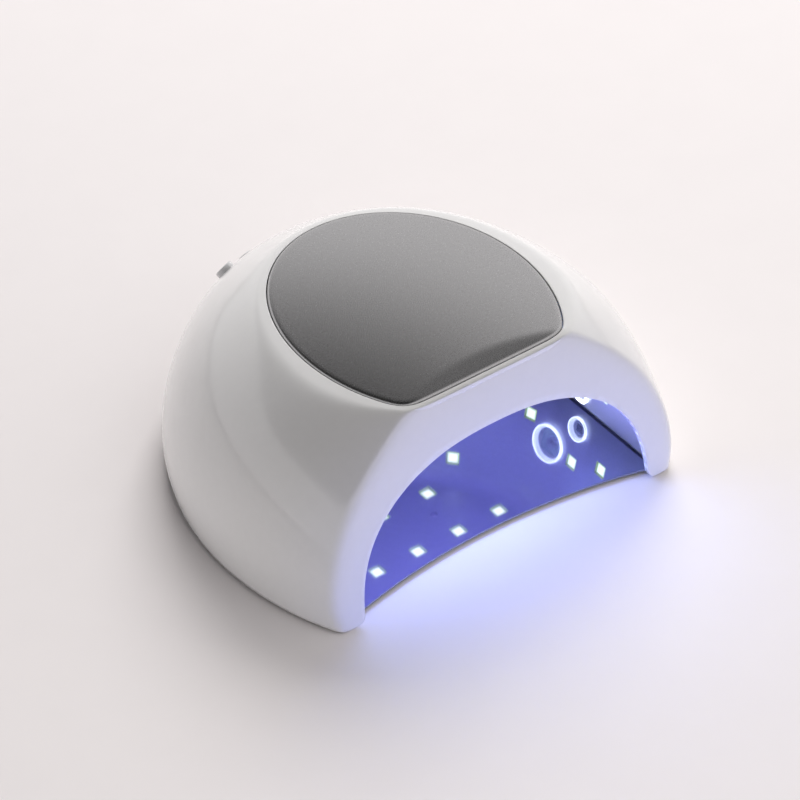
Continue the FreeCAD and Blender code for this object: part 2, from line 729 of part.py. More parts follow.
BOARD_MARGIN = 6.5
BOARD_LEVEL = dim("liner_ceiling") + BEHIND
FRONT_ROW, MIDDLE_ROW, BACK_ROW = CEILING_ROWS
step_back = (MIDDLE_ROW[0] + BACK_ROW[0]) / 2
board_pieces = []
for name, row, start, end in (("front", FRONT_ROW, FRONT_ROW[0] - BOARD_MARGIN, step_back),
                              ("back", BACK_ROW, step_back, BACK_ROW[0] + BOARD_MARGIN)):
    half = row[1][-1] * dim("row_pitch") + BOARD_MARGIN
    board_pieces.append(primitive("Box", f"ceiling_board_{name}", at(-half, start, BOARD_LEVEL),
                                  Length=2 * half, Width=end - start, Height="board_thickness"))
node("led_board_ceiling", fuse("ceiling_board_whole", board_pieces))

FIN_THICK = 2.0
FIN_COUNT = 9
SINK_LEVEL = BOARD_LEVEL + dim("board_thickness")
sink_left = -dim("sink_width") / 2
sink_front = (FRONT_ROW[0] + MIDDLE_ROW[0] + dim("led_window") - dim("sink_length")) / 2
sink_base = primitive("Box", "sink_base", at(sink_left, sink_front, SINK_LEVEL),
                      Length="sink_width", Width="sink_length", Height=FIN_THICK)
fins = []
for number in range(FIN_COUNT):
    left = sink_left + number * (dim("sink_width") - FIN_THICK) / (FIN_COUNT - 1)
    fins.append(primitive("Box", f"fin{number}", at(left, sink_front, SINK_LEVEL + FIN_THICK),
                          Length=FIN_THICK, Width="sink_length", Height="fin_tall"))
node("heat_sink", fuse("sink", [sink_base] + fins))

LENS_PLACES = {"large": [], "small": []}
for side in (-1, 1):
    LENS_PLACES["large"].append(on_turn(side, math.degrees(BIG_LENS[0] / wall_reach(BIG_LENS[1])),
                                        BIG_LENS[1]))
    LENS_PLACES["small"].append(on_wall(side, *SMALL_LENS))
lens_holes = []
for name, radius in (("large", "big_lens_radius"), ("small", "small_lens_radius")):
    rings = []
    # The wall is hollow towards the chamber, so a flat rim stands off it by the wall's own bulge.
    stand_off = dim(radius) ** 2 / (2 * wall_reach(BIG_LENS[1])) + dim("fit_gap") / 2
    for number, place in enumerate(LENS_PLACES[name]):
        lens_holes.append(primitive(
            "Cylinder", f"lens_hole_{name}{number}",
            place.multiply(Placement(Vector(0, 0, -4), Rotation())),
            Radius=f"{radius} - lens_rim", Height=9))
        rings.append(turned_body(f"lens_{name}{number}", (
            (radius, -stand_off - 1.2, 1.2),
            (f"{radius} - lens_rim - fit_gap / 2", -stand_off - 0.6, BEHIND + stand_off + 0.6),
        ), place))
    node(f"sensor_lens_{name}", group(f"lens_group_{name}", rings))

screw_holes = []
for x, y in CEILING_SCREWS:
    for side in (-1, 1):
        screw_holes.append(primitive("Cylinder", f"liner_screw_hole{side + 1}",
                                     at(side * x, y, dim("liner_ceiling") - 4),
                                     Radius="screw_radius + 0.2", Height=8))
inside_skin = shape_object("inside_skin", dome_solid(dim("shell_wall") + dim("fit_gap")),
                           at(0, 0, 0))
liner_body = common("liner_trimmed", fuse("liner_body", [outer_bay, flange]), inside_skin)
reflector = cut("reflector", liner_body,
                [inner_bay, front_tool("liner_front", dim("front_wall") + dim("fit_gap"))]
                + windows + lens_holes + screw_holes)
node("inner_reflector", reflector)


# ---- Base ring, feet, magnets and screws --------------------------------------------------------

ring_plan = common("ring_plan", inside_skin, slab("ring_slab", "ring_bottom", "ring_top"))
tray_radius = inner_radius + " + tray_lap"
ring_hole = bay_block("ring_hole", tray_radius + " + tray_gap", "0 - 5", "20", drafted=False)

RING_INNER = wall_reach(dim("ring_top")) + dim("tray_lap") + dim("tray_gap")


def hole_reach(angle):
    """Dome centre to the ring's hole: straight sides ahead of the centre, a half round behind."""
    return RING_INNER / math.cos(math.radians(angle)) if angle < 0 else RING_INNER


def both_sides(angle, reach):
    """The two places at an angle from the side, one to the right and one to the left."""
    turn = math.radians(angle)
    return [(side * reach * math.cos(turn), reach * math.sin(turn)) for side in (-1, 1)]


FOOT_ANGLES = (-20, 44.5)
MAGNET_ANGLES = (5, 65)
MAGNET_LAND = 1.9
FOOT_SPOTS = []
for angle in FOOT_ANGLES:
    rim_reach = plan_radius(angle, DOME_PROFILE[0][1], dim("shell_wall"))
    FOOT_SPOTS += both_sides(angle, (hole_reach(angle) + rim_reach) / 2)
MAGNET_SPOTS = []
for angle in MAGNET_ANGLES:
    MAGNET_SPOTS += both_sides(angle, hole_reach(angle) + dim("magnet_radius") + MAGNET_LAND)

screw_bores = []
screws = []
for number, (x, y) in enumerate(SCREW_SPOTS):
    screw_bores.append(primitive("Cylinder", f"ring_bore{number}", at(x, y, 0),
                                 Radius="screw_radius + 0.15", Height=10))
    screw_bores.append(primitive("Cylinder", f"ring_sink{number}", at(x, y, 0),
                                 Radius="screw_head + 0.2", Height="ring_bottom + 1.2"))
    shank = turned_body(f"screw{number}", (
        ("screw_head", dim("ring_bottom") + 0.1, 1.1),
        ("screw_radius", dim("ring_bottom") + 0.1, 12.0),
    ), at(x, y, 0))
    screws.append(shank)
node("base_screws", group("screw_group", screws))

pockets = []
magnets = []
for number, (x, y) in enumerate(MAGNET_SPOTS):
    pockets.append(primitive("Cylinder", f"magnet_pocket{number}",
                             at(x, y, dim("ring_top") - dim("magnet_thickness") - 0.1),
                             Radius="magnet_radius + 0.1", Height=5))
    magnets.append(primitive("Cylinder", f"magnet{number}",
                             at(x, y, dim("ring_top") - dim("magnet_thickness") - 0.1),
                             Radius="magnet_radius", Height="magnet_thickness"))
node("tray_magnets", group("magnet_group", magnets))

ring = cut("ring", ring_plan, [ring_hole, front_tool("ring_front", dim("front_wall") + dim("fit_gap"))]
           + screw_bores + pockets)
node("base_ring", ring)

feet = [primitive("Cylinder", f"foot{number}", at(x, y, 0), Radius="foot_radius",
                  Height="ring_bottom") for number, (x, y) in enumerate(FOOT_SPOTS)]
node("rubber_feet", group("foot_group", feet))


# ---- Mirror tray, its pads and the steel keepers the magnets hold -------------------------------

tray_bay = bay_block("tray_bay", tray_radius, "tray_top - tray_thickness", "tray_thickness",
                     drafted=False)
tray_edge = wall_reach(dim("ring_top")) + dim("tray_lap")
bow = dim("tray_bow")
bow_radius = (tray_edge ** 2 + bow ** 2) / (2 * bow)
bow_centre = -dim("tray_corner_reach") + bow - bow_radius
bow_disc = primitive("Cylinder", "tray_bow_disc", at(0, bow_centre, 0),
                     Radius=bow_radius, Height="2 * tray_top")
bow_block = primitive("Box", "tray_bow_block",
                      at(-2 * dim("liner_half_width"), -3 * dim("tray_corner_reach"), 0),
                      Length="4 * liner_half_width", Width="2 * tray_corner_reach",
                      Height="2 * tray_top")
node("base_tray", cut("tray", tray_bay, [bow_disc, bow_block]))

PAD_ANGLES = (-27, 46)
PAD_INSET = 21.0
PAD_SPOTS = []
for angle in PAD_ANGLES:
    PAD_SPOTS += both_sides(angle, hole_reach(angle) - PAD_INSET)
pads = [primitive("Cylinder", f"pad{number}", at(x, y, 0), Radius="pad_radius",
                  Height="tray_top - tray_thickness") for number, (x, y) in enumerate(PAD_SPOTS)]
node("tray_pads", group("pad_group", pads))

KEEPER_LOW = 0.5
KEEPER_POST = 6.0
KEEPER_TUCK = 9.0
keepers = []
for number, (x, y) in enumerate(MAGNET_SPOTS):
    turn = Rotation(Vector(0, 0, 1), math.degrees(math.atan2(y, x)))
    reach = math.hypot(x, y)
    inner = RING_INNER - KEEPER_TUCK
    half = dim("magnet_radius") + 1
    tab_place = Placement(turn.multVec(Vector(inner, -half, KEEPER_LOW)), turn)
    tab = primitive("Box", f"keeper_tab{number}", at(0, 0, 0).multiply(tab_place),
                    Length=reach + dim("magnet_radius") - inner, Width=2 * half,
                    Height="keeper_thickness")
    post_place = Placement(turn.multVec(Vector(inner, -half, KEEPER_LOW + dim("keeper_thickness"))),
                           turn)
    post = primitive("Box", f"keeper_post{number}", at(0, 0, 0).multiply(post_place),
                     Length=KEEPER_POST, Width=2 * half,
                     Height=f"tray_top - tray_thickness - keeper_thickness - {KEEPER_LOW}")
    keepers.append(fuse(f"keeper{number}", [tab, post]))
node("tray_keepers", group("keeper_group", keepers))


# ---- Power inlet --------------------------------------------------------------------------------

def inlet(start):
    """A placement on the inlet's axis, local +Z towards the back, start behind its mouth."""
    return at(0, jack_y - start, dim("jack_height"), Rotation(Vector(1, 0, 0), -90))


JACK_WALL = 1.4
JACK_FLOOR = 1.5
jack_half = dim("jack_bore") + JACK_WALL + 0.5
jack_outer = primitive("Cylinder", "jack_outer", inlet(dim("jack_depth")),
                       Radius=f"jack_bore + {JACK_WALL}", Height="jack_depth")
jack_block = primitive("Box", "jack_block",
                       at(-jack_half, jack_y - dim("jack_depth") - 4, dim("jack_height") - jack_half),
                       Length=2 * jack_half, Width=8, Height=2 * jack_half)
jack_mouth = primitive("Cylinder", "jack_mouth", inlet(dim("jack_lead")),
                       Radius="jack_bore", Height="jack_depth")
jack_socket = primitive("Cylinder", "jack_socket", inlet(dim("jack_depth") - JACK_FLOOR),
                        Radius="jack_bore - 0.35", Height="jack_depth")
node("dc_jack", cut("jack", fuse("jack_whole", [jack_outer, jack_block]),
                    [jack_mouth, jack_socket]))
node("dc_jack_pin", primitive("Cylinder", "jack_pin_rod", inlet(dim("jack_depth") - JACK_FLOOR),
                              Radius="jack_pin", Height=f"jack_depth - {JACK_FLOOR} - jack_lead"))


# ---- Circuit boards and what they carry ---------------------------------------------------------

STAND_TALL = 1.4
BOARD_LOW = dim("ring_top") + STAND_TALL
BOARD_TALL = 34.0
BOARD_BACK = wall_reach(dim("ring_top")) + dim("liner_wall") + dim("liner_flange") + 3.0
board = primitive("Box", "main_board_plate", at(-34, BOARD_BACK, BOARD_LOW),
                  Length=68, Width="board_thickness", Height=BOARD_TALL)
BOARD_HOLES = [(side * 30.0, BOARD_LOW + up) for side in (-1, 1) for up in (4.0, 30.0)]
holes = [primitive("Cylinder", f"board_hole{n}",
                   at(x, BOARD_BACK - 5, z, Rotation(Vector(1, 0, 0), -90)),
                   Radius=1.6, Height=12) for n, (x, z) in enumerate(BOARD_HOLES)]
node("main_board", cut("main_board_cut", board, holes))

behind_board = BOARD_BACK + dim("board_thickness")
posts = []
for x in (-30, 30):
    posts.append(primitive("Box", f"board_foot{x}", at(x - 4, BOARD_BACK - 2.5, dim("ring_top")),
                           Length=8, Width=7, Height=STAND_TALL))
node("board_stands", group("board_stand_group", posts))

capacitors = [primitive("Cylinder", f"capacitor{n}",
                        at(x, behind_board, BOARD_LOW + 22, Rotation(Vector(1, 0, 0), -90)),
                        Radius=4.0, Height=7.5) for n, x in enumerate((-14, 14))]
node("capacitors", group("capacitor_group", capacitors))
node("driver_coil", turned_body("coil", ((5.5, 0.0, 1.2), (3.6, 1.2, 3.2), (5.5, 4.4, 1.2)),
                                at(22, behind_board, BOARD_LOW + 8,
                                   Rotation(Vector(1, 0, 0), -90))))
node("controller_chip", primitive("Box", "controller", at(-27, behind_board, BOARD_LOW + 4),
                                  Length=10, Width=1.6, Height=10))

display_point, display_normal = skin_spot(0.0, dim("display_height"))
DISPLAY_CLEAR = 4.5
DISPLAY_BACK = display_point.y - CENTRE_Y - dim("shell_wall") - DISPLAY_CLEAR
DISPLAY_DEEP = 6.0
DISPLAY_REACH = 12.0


def display_block(name, back, grow, **depth):
    """An upright block behind the display window, larger than it by grow."""
    wide, tall = dim("display_width") + grow, dim("display_tall") + grow
    return primitive("Box", name, at(-wide / 2, back, dim("display_height") - tall / 2),
                     Length=f"display_width + {grow}", Height=f"display_tall + {grow}", **depth)


# The module's face follows the inside of the wall, so it always sits against the window.
node("display_module", common(
    "display_trim", display_block("display_cell", DISPLAY_BACK - DISPLAY_DEEP, -2.0,
                                  Width=DISPLAY_DEEP + DISPLAY_REACH),
    cavity))
node("display_board", display_block("display_plate",
                                    DISPLAY_BACK - DISPLAY_DEEP - dim("board_thickness"), 2.0,
                                    Width="board_thickness"))

sensor_boards = []
emitters = []
for number, place in enumerate(LENS_PLACES["large"]):
    emitters.append(primitive("Cylinder", f"emitter{number}",
                              place.multiply(Placement(Vector(0, 0, BEHIND), Rotation())),
                              Radius=2.5, Height=2.4))
    sensor_boards.append(square_at(f"sensor_board{number}", place, 14.0, BEHIND + 2.4,
                                   dim("board_thickness")))
node("sensor_emitters", group("emitter_group", emitters))
node("sensor_boards", group("sensor_board_group", sensor_boards))
receivers = [square_at(f"receiver{n}", place, 4.0, BEHIND, 2.0)
             for n, place in enumerate(LENS_PLACES["small"])]
node("sensor_receivers", group("receiver_group", receivers))

# Flat leads rise from the main board and turn forward to the ceiling board's rear edge.
LEAD_WIDE = 6.0
LEAD_THICK = 1.0
lead_back = BOARD_BACK - 1.2
lead_front = BACK_ROW[0] + BOARD_MARGIN + 0.2
lead_level = BOARD_LEVEL + 2.0
board_top = BOARD_LOW + BOARD_TALL
leads = []
for number, x in enumerate((-LEAD_WIDE, LEAD_WIDE)):
    left = x - LEAD_WIDE / 2
    rise = primitive("Box", f"lead_rise{number}", at(left, lead_back, board_top),
                     Length=LEAD_WIDE, Width=LEAD_THICK, Height=lead_level + LEAD_THICK - board_top)
    run = primitive("Box", f"lead_run{number}", at(left, lead_front, lead_level),
                    Length=LEAD_WIDE, Width=lead_back - lead_front, Height=LEAD_THICK)
    leads.append(fuse(f"lead{number}", [rise, run]))
node("ribbon_leads", group("lead_group", leads))


# ---- Check and write ----------------------------------------------------------------------------

DOC.recompute()
faults = [f"{obj.Name} is {', '.join(obj.State)}" for obj in DOC.Objects
          if "Invalid" in obj.State or "Error" in obj.State]
for label, obj in NODES.items():
    if obj.Shape.isNull():
        faults.append(label + " has no shape")
    elif not obj.Shape.isValid():
        faults.append(label + " is not a valid solid")
if faults:
    raise RuntimeError("; ".join(faults))

os.makedirs("parts", exist_ok=True)
for label, obj in NODES.items():
    obj.Shape.exportStep(f"parts/{label}.step")
    print(f"{label:22s} {len(obj.Shape.Solids):3d} solids {obj.Shape.Volume / 1000:9.3f} cm3")
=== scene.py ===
# %% [markdown]
# # A curing lamp, from its imported frame
# The lamp is a glossy white dome over a mirrored tray.  A round grey panel sits in its top, an
# arch opens its front, and square light chips shine down from a silvered chamber.  The engineering
# model holds every size and joint.  This script loads it as a fixed frame and builds the surfaces
# that are seen: a smooth shell, a crowned panel, soft-edged keys, lit chips, lenses with a painted
# highlight at the rim, and a finish for each material.

import json
import math

import bmesh
import bpy
from mathutils import Matrix, Vector

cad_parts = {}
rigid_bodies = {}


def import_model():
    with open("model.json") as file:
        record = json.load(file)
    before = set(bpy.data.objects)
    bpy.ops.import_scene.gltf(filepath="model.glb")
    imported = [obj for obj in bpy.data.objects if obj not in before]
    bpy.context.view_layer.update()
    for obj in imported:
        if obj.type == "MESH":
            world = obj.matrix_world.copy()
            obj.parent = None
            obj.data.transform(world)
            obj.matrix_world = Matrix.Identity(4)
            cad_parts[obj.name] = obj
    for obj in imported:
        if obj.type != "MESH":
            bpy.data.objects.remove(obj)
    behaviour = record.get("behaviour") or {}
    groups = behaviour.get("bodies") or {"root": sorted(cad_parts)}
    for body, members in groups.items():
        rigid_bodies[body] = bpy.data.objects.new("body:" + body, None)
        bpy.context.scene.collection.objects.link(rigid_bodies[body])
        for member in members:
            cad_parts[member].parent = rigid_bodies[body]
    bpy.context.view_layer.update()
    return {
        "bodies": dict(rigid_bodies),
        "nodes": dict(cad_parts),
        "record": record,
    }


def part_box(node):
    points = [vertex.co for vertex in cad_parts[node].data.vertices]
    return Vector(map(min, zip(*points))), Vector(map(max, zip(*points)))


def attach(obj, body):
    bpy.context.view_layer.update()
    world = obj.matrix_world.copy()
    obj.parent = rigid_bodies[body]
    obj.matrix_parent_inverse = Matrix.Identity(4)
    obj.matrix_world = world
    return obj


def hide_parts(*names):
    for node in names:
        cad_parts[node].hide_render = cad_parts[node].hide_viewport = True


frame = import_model()
NODES = frame["nodes"]
MM = 0.001


# %% [markdown]
# ## Camera first
# The lamp is seen from a long way off through a long lens, so its sides hardly converge.  The
# camera circles the lamp by an azimuth and an elevation, and always looks at the same middle point.

# %% Camera
AZIMUTH = math.radians(-37.2)
ELEVATION = math.radians(40.1)
DISTANCE = 2.80
LOOK_AT = Vector((-0.0119, -0.03175, 0.0510))

camera_data = bpy.data.cameras.new("long_lens")
camera_data.sensor_width = 36.0
camera_data.lens = 283.5
camera_data.clip_end = 30.0
camera = bpy.data.objects.new("camera", camera_data)
away = Vector((math.sin(AZIMUTH) * math.cos(ELEVATION), -math.cos(AZIMUTH) * math.cos(ELEVATION),
               math.sin(ELEVATION)))
camera.location = LOOK_AT + DISTANCE * away
camera.rotation_euler = away.to_track_quat("Z", "Y").to_euler()
bpy.context.scene.collection.objects.link(camera)
bpy.context.scene.camera = camera
print("camera at", [round(v, 3) for v in camera.location])


# %% [markdown]
# ## Finishes
# Every finish is a small node tree.  A fine noise, read in the object's own coordinates, drives
# three things at once: it shifts the colour a little, it makes the gloss uneven, and it raises the
# surface by a few hundredths of a millimetre.  Moulded plastic, metal and circuit board differ in
# how large that noise is and how much of it reaches each socket.

# %% One builder for every finish
FINISHES = {}


def finish(slot, colour, rough, grain=900.0, mottle=0.04, uneven=0.05, bump=0.1, stretch=None,
           **sockets):
    """A material whose colour, gloss and relief all follow one fine noise."""
    material = bpy.data.materials.new(slot + "_finish")
    material.use_nodes = True
    nodes, links = material.node_tree.nodes, material.node_tree.links
    shader = nodes["Principled BSDF"]
    place = nodes.new("ShaderNodeTexCoord")
    turn = nodes.new("ShaderNodeMapping")
    turn.inputs["Scale"].default_value = stretch or (1, 1, 1)
    noise = nodes.new("ShaderNodeTexNoise")
    noise.inputs["Scale"].default_value = grain
    noise.inputs["Detail"].default_value = 4.0
    tint = nodes.new("ShaderNodeValToRGB")
    dark, light = tint.color_ramp.elements
    dark.position, light.position = 0.35, 0.65
    dark.color = (*[channel * (1 - mottle) for channel in colour], 1)
    light.color = (*[min(channel * (1 + mottle), 1) for channel in colour], 1)
    gloss = nodes.new("ShaderNodeMapRange")
    gloss.inputs["To Min"].default_value = max(rough - uneven, 0.0)
    gloss.inputs["To Max"].default_value = rough + uneven
    relief = nodes.new("ShaderNodeBump")
    relief.inputs["Strength"].default_value = bump
    relief.inputs["Distance"].default_value = 0.0001
    links.new(place.outputs["Object"], turn.inputs["Vector"])
    links.new(turn.outputs["Vector"], noise.inputs["Vector"])
    links.new(noise.outputs["Fac"], tint.inputs["Fac"])
    links.new(noise.outputs["Fac"], gloss.inputs["Value"])
    links.new(noise.outputs["Fac"], relief.inputs["Height"])
    links.new(tint.outputs["Color"], shader.inputs["Base Color"])
    links.new(gloss.outputs["Result"], shader.inputs["Roughness"])
    links.new(relief.outputs["Normal"], shader.inputs["Normal"])
    for socket, value in sockets.items():
        shader.inputs[socket.replace("_", " ")].default_value = value
    FINISHES[slot] = material
    return material


finish("shell_white", (0.80, 0.80, 0.80), 0.16, grain=260, mottle=0.006, uneven=0.03, bump=0.03,
       Coat_Weight=0.6, Coat_Roughness=0.06)
finish("button_white", (0.74, 0.74, 0.75), 0.22, grain=500, mottle=0.01, bump=0.05,
       Coat_Weight=0.3)
finish("panel_grey", (0.455, 0.455, 0.46), 0.28, grain=2600, mottle=0.08, uneven=0.05, bump=0.08,
       Metallic=0.96)
finish("foam_black", (0.02, 0.02, 0.02), 0.9, grain=3000, mottle=0.3, bump=0.6)
finish("display_dark", (0.012, 0.012, 0.015), 0.09, grain=400, mottle=0.2, uneven=0.03, bump=0.02,
       Coat_Weight=0.8)
finish("reflector_silver", (0.62, 0.64, 0.70), 0.48, grain=1200, mottle=0.03, bump=0.06,
       Metallic=0.55)
finish("base_white", (0.60, 0.60, 0.61), 0.55, grain=2200, mottle=0.03, bump=0.25)
finish("rubber_clear", (0.16, 0.16, 0.165), 0.65, grain=1500, mottle=0.1, bump=0.3)
finish("steel_plated", (0.62, 0.62, 0.64), 0.32, grain=900, mottle=0.08, bump=0.12,
       stretch=(1, 1, 14), Metallic=1.0)
finish("board_white", (0.82, 0.82, 0.80), 0.40, grain=800, mottle=0.03, bump=0.1)
finish("sink_aluminium", (0.72, 0.72, 0.74), 0.36, grain=500, mottle=0.06, bump=0.2,
       stretch=(14, 1, 14), Metallic=1.0)
finish("component_black", (0.025, 0.025, 0.027), 0.48, grain=2400, mottle=0.2, bump=0.3)
finish("pin_nickel", (0.72, 0.70, 0.66), 0.18, grain=600, mottle=0.04, bump=0.05, Metallic=1.0)
finish("lead_grey", (0.22, 0.22, 0.23), 0.45, grain=60, mottle=0.35, bump=0.5,
       stretch=(14, 0.1, 0.1))
# the mirror's colour is darkened and tinted blue: painted shade and a painted blue cast on
# everything the tray reflects
finish("tray_mirror", (0.30, 0.32, 0.42), 0.05, grain=300, mottle=0.015, uneven=0.015, bump=0.01,
       Metallic=1.0)
# the sensor lens is no lamp, yet it glows: a painted highlight, bright in a ring at the rim and
# faint blue inside, stands for the chamber's light caught on the lens
lens = finish("lens_clear", (0.90, 0.92, 1.0), 0.06, grain=500, mottle=0.02, uneven=0.03, bump=0.03,
              Transmission_Weight=0.85, IOR=1.49, Emission_Strength=1.6)
lens_highlight_mask = lens.node_tree.nodes.new("ShaderNodeAttribute")
lens_highlight_mask.attribute_name = "core"
lens_painted_highlight = lens.node_tree.nodes.new("ShaderNodeValToRGB")
inside_end, highlight_end = lens_painted_highlight.color_ramp.elements
inside_end.position, highlight_end.position = 0.15, 0.9
inside_end.color, highlight_end.color = (0.04, 0.05, 0.12, 1), (0.80, 0.86, 1.0, 1)
lens.node_tree.links.new(lens_highlight_mask.outputs["Fac"], lens_painted_highlight.inputs["Fac"])
lens.node_tree.links.new(lens_painted_highlight.outputs["Color"],
                         lens.node_tree.nodes["Principled BSDF"].inputs["Emission Color"])
print(len(FINISHES), "plain finishes")


# %% [markdown]
# ## Circuit boards
# A board is glass cloth under a green solder mask, with copper tracks showing as slightly paler
# lines.  A brick pattern stands in for the tracks: its mortar lines run straight and turn square,
# as tracks do.

# %% Solder mask with tracks
def board_finish(slot, mask, track):
    """A finish whose colour runs in square tracks under the mask."""
    material = finish(slot, mask, 0.34, grain=1400, mottle=0.05, bump=0.2)
    nodes, links = material.node_tree.nodes, material.node_tree.links
    shader = nodes["Principled BSDF"]
    bricks = nodes.new("ShaderNodeTexBrick")
    bricks.inputs["Scale"].default_value = 160.0
    bricks.inputs["Mortar Size"].default_value = 0.035
    bricks.inputs["Color1"].default_value = (*mask, 1)
    bricks.inputs["Color2"].default_value = (*[0.8 * channel for channel in mask], 1)
    bricks.inputs["Mortar"].default_value = (*track, 1)
    links.new(nodes["Texture Coordinate"].outputs["Object"], bricks.inputs["Vector"])
    links.new(bricks.outputs["Color"], shader.inputs["Base Color"])
    return material


board_finish("board_green", (0.012, 0.10, 0.035), (0.05, 0.22, 0.08))


# %% [markdown]
# ## Lit chips
# A light chip is a tiny square of clear resin over a phosphor.  It glows white in the middle, where
# the eye and a camera both see it burn out, and yellow-green round the edge.  A colour attribute
# named core, painted on each chip further down, mixes the two glows.

# %% Light chips
CORE_GLOW = (1.0, 1.0, 0.93)
EDGE_GLOW = (0.34, 0.52, 0.08)
chip = finish("light_chip", (0.86, 0.92, 0.62), 0.25, grain=1400, mottle=0.10, bump=0.05,
              Emission_Strength=3.2)
chip_nodes, chip_links = chip.node_tree.nodes, chip.node_tree.links
core = chip_nodes.new("ShaderNodeAttribute")
core.attribute_name = "core"
glow = chip_nodes.new("ShaderNodeValToRGB")
edge_end, core_end = glow.color_ramp.elements
edge_end.color, core_end.color = (*EDGE_GLOW, 1), (*CORE_GLOW, 1)
chip_links.new(core.outputs["Fac"], glow.inputs["Fac"])
chip_links.new(glow.outputs["Color"], chip_nodes["Principled BSDF"].inputs["Emission Color"])

slot_of = {part["node"]: part["material_slot"] for part in frame["record"]["subparts"]}
for name, obj in NODES.items():
    for holder in obj.material_slots:
        holder.material = FINISHES[slot_of[name]]
print("finished nodes:", len(NODES))


# %% [markdown]
# ## Helpers for new pieces
# A new piece is a bmesh that becomes a mesh object at the origin, rides on one of the lamp's
# bodies, and stands for the frame's node of the same job.  A modifier is given the same level for
# the viewport and for the render.

# %% From bmesh to piece
def piece(name, bm, slot, body, stands_for=(), smooth=True, crisp=None):
    """Makes the object, gives it its finish, and ties it to its body; crisp is a degree limit."""
    bmesh.ops.recalc_face_normals(bm, faces=bm.faces)
    mesh = bpy.data.meshes.new(name)
    bm.to_mesh(mesh)
    bm.free()
    for polygon in mesh.polygons:
        polygon.use_smooth = smooth
    if crisp:
        mesh.set_sharp_from_angle(angle=math.radians(crisp))
    mesh.materials.append(FINISHES[slot])
    obj = bpy.data.objects.new(name, mesh)
    bpy.context.scene.collection.objects.link(obj)
    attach(obj, body)
    if stands_for:
        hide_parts(*stands_for)
    return obj


def subdivide(obj, levels):
    modifier = obj.modifiers.new("smooth_surface", "SUBSURF")
    modifier.levels = modifier.render_levels = levels
    return modifier


def thicken(obj, thickness):
    modifier = obj.modifiers.new("wall", "SOLIDIFY")
    modifier.thickness = thickness
    modifier.offset = -1.0
    modifier.use_even_offset = True
    return modifier


def soften(obj, width, segments=2, angle=40.0):
    modifier = obj.modifiers.new("soft_edges", "BEVEL")
    modifier.width = width
    modifier.segments = segments
    modifier.limit_method = "ANGLE"
    modifier.angle_limit = math.radians(angle)
    modifier.harden_normals = True
    return modifier


def bent_grid(bm, columns, rows, rule):
    """A flat grid, one unit each way, whose every point is then moved by rule(across, up)."""
    made = bmesh.ops.create_grid(bm, x_segments=columns, y_segments=rows, size=0.5)
    for vert in made["verts"]:
        vert.co = rule(vert.co.x + 0.5, vert.co.y + 0.5)
    return made["verts"]


def turned(bm, profile, place, steps=64):
    """Spins a line of (radius, height) points once round the place's local Z."""
    verts = [bm.verts.new(place @ Vector((radius, 0, height))) for radius, height in profile]
    edges = [bm.edges.new(ends) for ends in zip(verts, verts[1:])]
    axis = place.to_3x3() @ Vector((0, 0, 1))
    bmesh.ops.spin(bm, geom=verts + edges, cent=place.translation, axis=axis,
                   angle=2 * math.pi, steps=steps, use_merge=True)
    bmesh.ops.remove_doubles(bm, verts=bm.verts, dist=0.000001)


def along(point, direction):
    """A place whose local Z runs along a direction."""
    return Matrix.Translation(point) @ direction.to_track_quat("Z", "Y").to_matrix().to_4x4()


def merged_copy(name):
    """A bmesh of one of the frame's nodes, its doubles merged and its flat faces made whole."""
    bm = bmesh.new()
    bm.from_mesh(NODES[name].data)
    bmesh.ops.transform(bm, matrix=NODES[name].matrix_world, verts=bm.verts)
    bmesh.ops.remove_doubles(bm, verts=bm.verts, dist=0.000001)
    bmesh.ops.dissolve_limit(bm, angle_limit=0.01, verts=bm.verts, edges=bm.edges)
    return bm


def make_real(obj):
    """Swaps the object's mesh for what its modifiers make, and drops the modifiers."""
    graph = bpy.context.evaluated_depsgraph_get()
    mesh = bpy.data.meshes.new_from_object(obj.evaluated_get(graph), depsgraph=graph)
    obj.modifiers.clear()
    obj.data = mesh


# %% [markdown]
# ## The dome's shape
# In plan the dome is an oval at every height, wider towards the back than towards the front, and
# it narrows as it rises.  A few rows give its width as a share of the widest, and a smooth curve
# through the rows fills in the rest.  The front is a flat face that leans back, the top is a very
# shallow ball, and a short slope cuts its front.

# %% Sizes of the dome
shell_low, shell_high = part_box("outer_shell")
HALF_WIDTH = shell_high.x
BACK = 0.1285
CENTRE_Y = shell_high.y - BACK
FOOT = shell_low.z
FLANK_HEIGHT = 0.0965
FRONT_REACH = 0.065
FRONT_LEAN = math.tan(math.radians(9.5))
CROWN_RADIUS = 0.577
CROWN_Y = 0.005
CROWN_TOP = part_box("top_panel")[1].z
BROW_REACH = 0.0468
BROW_DROP = 0.0040
BROW_SLOPE = math.tan(math.radians(16.0))
PANEL_PROUD = 0.0007

# height, width and drawn-in front, each as a share
DOME_ROWS = (
    (0.00, 0.978, 0.99),
    (0.12, 1.000, 0.97),
    (0.28, 0.991, 0.93),
    (0.45, 0.957, 0.86),
    (0.62, 0.899, 0.79),
    (0.78, 0.809, 0.74),
    (0.90, 0.706, 0.75),
    (1.00, 0.600, 0.79),
    (1.06, 0.525, 0.82),
)


